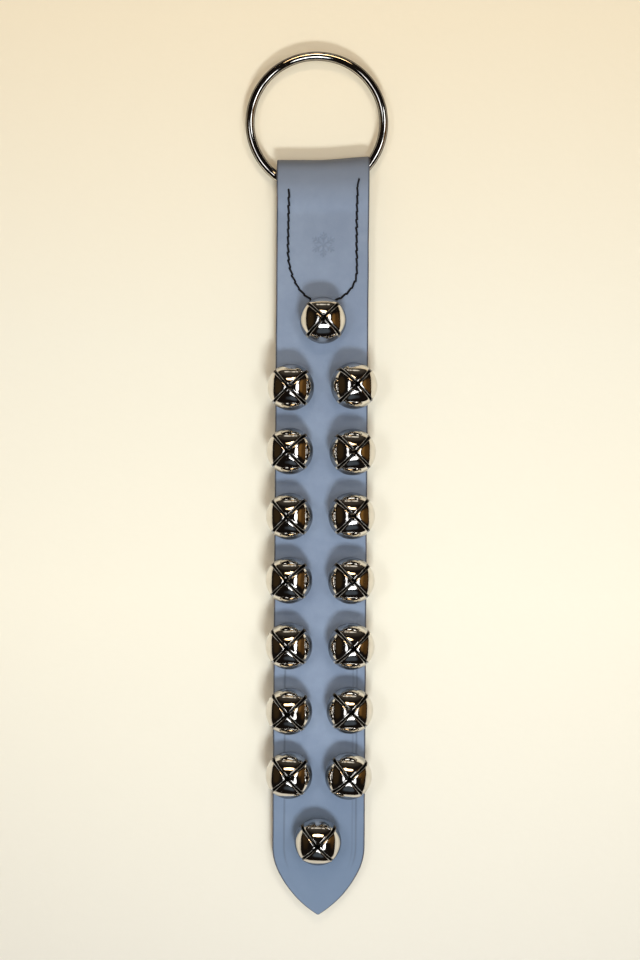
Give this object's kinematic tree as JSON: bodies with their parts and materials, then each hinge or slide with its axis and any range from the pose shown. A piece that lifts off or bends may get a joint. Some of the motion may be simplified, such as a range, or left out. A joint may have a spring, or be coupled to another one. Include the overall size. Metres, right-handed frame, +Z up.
{
  "type": "sleigh bells",
  "caption": "Leather strap of jingle bells folded over a steel hanging ring, with a pointed end; each bell rocks on its shank and holds a loose pellet.",
  "frame": {"origin": "middle of the strap's back face: on its centre line, half-way between the top of the fold and the point", "axes": "+Z up the strap towards the ring, -Y out of the front where the bells are, +X to the viewer's right"},
  "size_m": [0.0786, 0.034, 0.4744],
  "materials": {
    "blue_leather": "smooth blue-grey bridle leather, satin",
    "black_thread": "black bonded thread",
    "nickel_plate": "bright nickel plate on steel",
    "steel_wire": "plain drawn wire",
    "pellet_steel": "dull steel ball"
  },
  "bodies": {
    "strap_body": {"strap": "blue_leather", "stitch_thread_front": "black_thread", "stitch_thread_back": "black_thread", "retaining_wire": "steel_wire"},
    "ring": {"hanging_ring": "nickel_plate"},
    "bell_01": {"bell_01_shell": "nickel_plate", "bell_01_loop": "steel_wire"},
    "bell_01_pellet_body": {"bell_01_pellet": "pellet_steel"},
    "bell_02": {"bell_02_shell": "nickel_plate", "bell_02_loop": "steel_wire"},
    "bell_02_pellet_body": {"bell_02_pellet": "pellet_steel"},
    "bell_03": {"bell_03_shell": "nickel_plate", "bell_03_loop": "steel_wire"},
    "bell_03_pellet_body": {"bell_03_pellet": "pellet_steel"},
    "bell_04": {"bell_04_shell": "nickel_plate", "bell_04_loop": "steel_wire"},
    "bell_04_pellet_body": {"bell_04_pellet": "pellet_steel"},
    "bell_05": {"bell_05_shell": "nickel_plate", "bell_05_loop": "steel_wire"},
    "bell_05_pellet_body": {"bell_05_pellet": "pellet_steel"},
    "bell_06": {"bell_06_shell": "nickel_plate", "bell_06_loop": "steel_wire"},
    "bell_06_pellet_body": {"bell_06_pellet": "pellet_steel"},
    "bell_07": {"bell_07_shell": "nickel_plate", "bell_07_loop": "steel_wire"},
    "bell_07_pellet_body": {"bell_07_pellet": "pellet_steel"},
    "bell_08": {"bell_08_shell": "nickel_plate", "bell_08_loop": "steel_wire"},
    "bell_08_pellet_body": {"bell_08_pellet": "pellet_steel"},
    "bell_09": {"bell_09_shell": "nickel_plate", "bell_09_loop": "steel_wire"},
    "bell_09_pellet_body": {"bell_09_pellet": "pellet_steel"},
    "bell_10": {"bell_10_shell": "nickel_plate", "bell_10_loop": "steel_wire"},
    "bell_10_pellet_body": {"bell_10_pellet": "pellet_steel"},
    "bell_11": {"bell_11_shell": "nickel_plate", "bell_11_loop": "steel_wire"},
    "bell_11_pellet_body": {"bell_11_pellet": "pellet_steel"},
    "bell_12": {"bell_12_shell": "nickel_plate", "bell_12_loop": "steel_wire"},
    "bell_12_pellet_body": {"bell_12_pellet": "pellet_steel"},
    "bell_13": {"bell_13_shell": "nickel_plate", "bell_13_loop": "steel_wire"},
    "bell_13_pellet_body": {"bell_13_pellet": "pellet_steel"},
    "bell_14": {"bell_14_shell": "nickel_plate", "bell_14_loop": "steel_wire"},
    "bell_14_pellet_body": {"bell_14_pellet": "pellet_steel"},
    "bell_15": {"bell_15_shell": "nickel_plate", "bell_15_loop": "steel_wire"},
    "bell_15_pellet_body": {"bell_15_pellet": "pellet_steel"},
    "bell_16": {"bell_16_shell": "nickel_plate", "bell_16_loop": "steel_wire"},
    "bell_16_pellet_body": {"bell_16_pellet": "pellet_steel"}
  },
  "joints": [
    {"name": "hanging_ring_swing", "type": "hinge", "parent": "strap_body", "child": "ring", "pos_m": [-0.0015, 0.00015, 0.1958], "axis": [1, 0, 0], "range_deg": [-13, 13]},
    {"name": "bell_01_rock", "type": "hinge", "parent": "strap_body", "child": "bell_01", "pos_m": [0, 0.0011, 0.1173], "axis": [1, 0, 0], "range_deg": [-7, 13]},
    {"name": "bell_01_pellet_rattle", "type": "slide", "parent": "bell_01", "child": "bell_01_pellet_body", "axis": [-0.0018, 0.0523, 0.9986], "range_m": [0, 0.01465]},
    {"name": "bell_02_rock", "type": "hinge", "parent": "strap_body", "child": "bell_02", "pos_m": [-0.0155, 0.0011, 0.0821], "axis": [0, 0, 1], "range_deg": [-5, 15]},
    {"name": "bell_02_pellet_rattle", "type": "slide", "parent": "bell_02", "child": "bell_02_pellet_body", "axis": [-0.003, -0.0348, 0.9994], "range_m": [0, 0.01465]},
    {"name": "bell_03_rock", "type": "hinge", "parent": "strap_body", "child": "bell_03", "pos_m": [0.0155, 0.0011, 0.0821], "axis": [0, 0, 1], "range_deg": [-18, 2]},
    {"name": "bell_03_pellet_rattle", "type": "slide", "parent": "bell_03", "child": "bell_03_pellet_body", "axis": [-0.0049, 0.0346, 0.9994], "range_m": [0, 0.01465]},
    {"name": "bell_04_rock", "type": "hinge", "parent": "strap_body", "child": "bell_04", "pos_m": [-0.0155, 0.0011, 0.0469], "axis": [0, 0, 1], "range_deg": [-4, 16]},
    {"name": "bell_04_pellet_rattle", "type": "slide", "parent": "bell_04", "child": "bell_04_pellet_body", "axis": [0, 0, 1], "range_m": [0, 0.01465]},
    {"name": "bell_05_rock", "type": "hinge", "parent": "strap_body", "child": "bell_05", "pos_m": [0.0155, 0.0011, 0.0469], "axis": [0, 0, 1], "range_deg": [-16, 4]},
    {"name": "bell_05_pellet_rattle", "type": "slide", "parent": "bell_05", "child": "bell_05_pellet_body", "axis": [0.0018, -0.0174, 0.9998], "range_m": [0, 0.01465]},
    {"name": "bell_06_rock", "type": "hinge", "parent": "strap_body", "child": "bell_06", "pos_m": [-0.0155, 0.0011, 0.0117], "axis": [0, 0, 1], "range_deg": [-4, 16]},
    {"name": "bell_06_pellet_rattle", "type": "slide", "parent": "bell_06", "child": "bell_06_pellet_body", "axis": [-0.0018, -0.0174, 0.9998], "range_m": [0, 0.01465]},
    {"name": "bell_07_rock", "type": "hinge", "parent": "strap_body", "child": "bell_07", "pos_m": [0.0155, 0.0011, 0.0117], "axis": [0, 0, 1], "range_deg": [-15, 5]},
    {"name": "bell_07_pellet_rattle", "type": "slide", "parent": "bell_07", "child": "bell_07_pellet_body", "axis": [-0.0015, 0.0174, 0.9998], "range_m": [0, 0.01465]},
    {"name": "bell_08_rock", "type": "hinge", "parent": "strap_body", "child": "bell_08", "pos_m": [-0.0155, 0.0011, -0.0235], "axis": [0, 0, 1], "range_deg": [-4, 16]},
    {"name": "bell_08_pellet_rattle", "type": "slide", "parent": "bell_08", "child": "bell_08_pellet_body", "axis": [0.0018, 0.0174, 0.9998], "range_m": [0, 0.01465]},
    {"name": "bell_09_rock", "type": "hinge", "parent": "strap_body", "child": "bell_09", "pos_m": [0.0155, 0.0011, -0.0235], "axis": [0, 0, 1], "range_deg": [-15, 5]},
    {"name": "bell_09_pellet_rattle", "type": "slide", "parent": "bell_09", "child": "bell_09_pellet_body", "axis": [-0.0015, 0.0174, 0.9998], "range_m": [0, 0.01465]},
    {"name": "bell_10_rock", "type": "hinge", "parent": "strap_body", "child": "bell_10", "pos_m": [-0.0155, 0.0011, -0.0587], "axis": [0, 0, 1], "range_deg": [-5, 15]},
    {"name": "bell_10_pellet_rattle", "type": "slide", "parent": "bell_10", "child": "bell_10_pellet_body", "axis": [-0.0015, -0.0174, 0.9998], "range_m": [0, 0.01465]},
    {"name": "bell_11_rock", "type": "hinge", "parent": "strap_body", "child": "bell_11", "pos_m": [0.0155, 0.0011, -0.0587], "axis": [0, 0, 1], "range_deg": [-16, 4]},
    {"name": "bell_11_pellet_rattle", "type": "slide", "parent": "bell_11", "child": "bell_11_pellet_body", "axis": [0.0018, -0.0174, 0.9998], "range_m": [0, 0.01465]},
    {"name": "bell_12_rock", "type": "hinge", "parent": "strap_body", "child": "bell_12", "pos_m": [-0.0155, 0.0011, -0.0939], "axis": [0, 0, 1], "range_deg": [-6, 14]},
    {"name": "bell_12_pellet_rattle", "type": "slide", "parent": "bell_12", "child": "bell_12_pellet_body", "axis": [-0.0024, -0.0348, 0.9994], "range_m": [0, 0.01465]},
    {"name": "bell_13_rock", "type": "hinge", "parent": "strap_body", "child": "bell_13", "pos_m": [0.0155, 0.0011, -0.0939], "axis": [0, 0, 1], "range_deg": [-14, 6]},
    {"name": "bell_13_pellet_rattle", "type": "slide", "parent": "bell_13", "child": "bell_13_pellet_body", "axis": [-0.0012, 0.0174, 0.9998], "range_m": [0, 0.01465]},
    {"name": "bell_14_rock", "type": "hinge", "parent": "strap_body", "child": "bell_14", "pos_m": [-0.0155, 0.0011, -0.1291], "axis": [0, 0, 1], "range_deg": [-7, 13]},
    {"name": "bell_14_pellet_rattle", "type": "slide", "parent": "bell_14", "child": "bell_14_pellet_body", "axis": [0, 0, 1], "range_m": [0, 0.01465]},
    {"name": "bell_15_rock", "type": "hinge", "parent": "strap_body", "child": "bell_15", "pos_m": [0.0155, 0.0011, -0.1291], "axis": [0, 0, 1], "range_deg": [-12, 8]},
    {"name": "bell_15_pellet_rattle", "type": "slide", "parent": "bell_15", "child": "bell_15_pellet_body", "axis": [0.0006, -0.0174, 0.9998], "range_m": [0, 0.01465]},
    {"name": "bell_16_rock", "type": "hinge", "parent": "strap_body", "child": "bell_16", "pos_m": [0, 0.0011, -0.1643], "axis": [1, 0, 0], "range_deg": [-13, 7]},
    {"name": "bell_16_pellet_rattle", "type": "slide", "parent": "bell_16", "child": "bell_16_pellet_body", "axis": [-0.0009, -0.0523, 0.9986], "range_m": [0, 0.01465]}
  ]
}
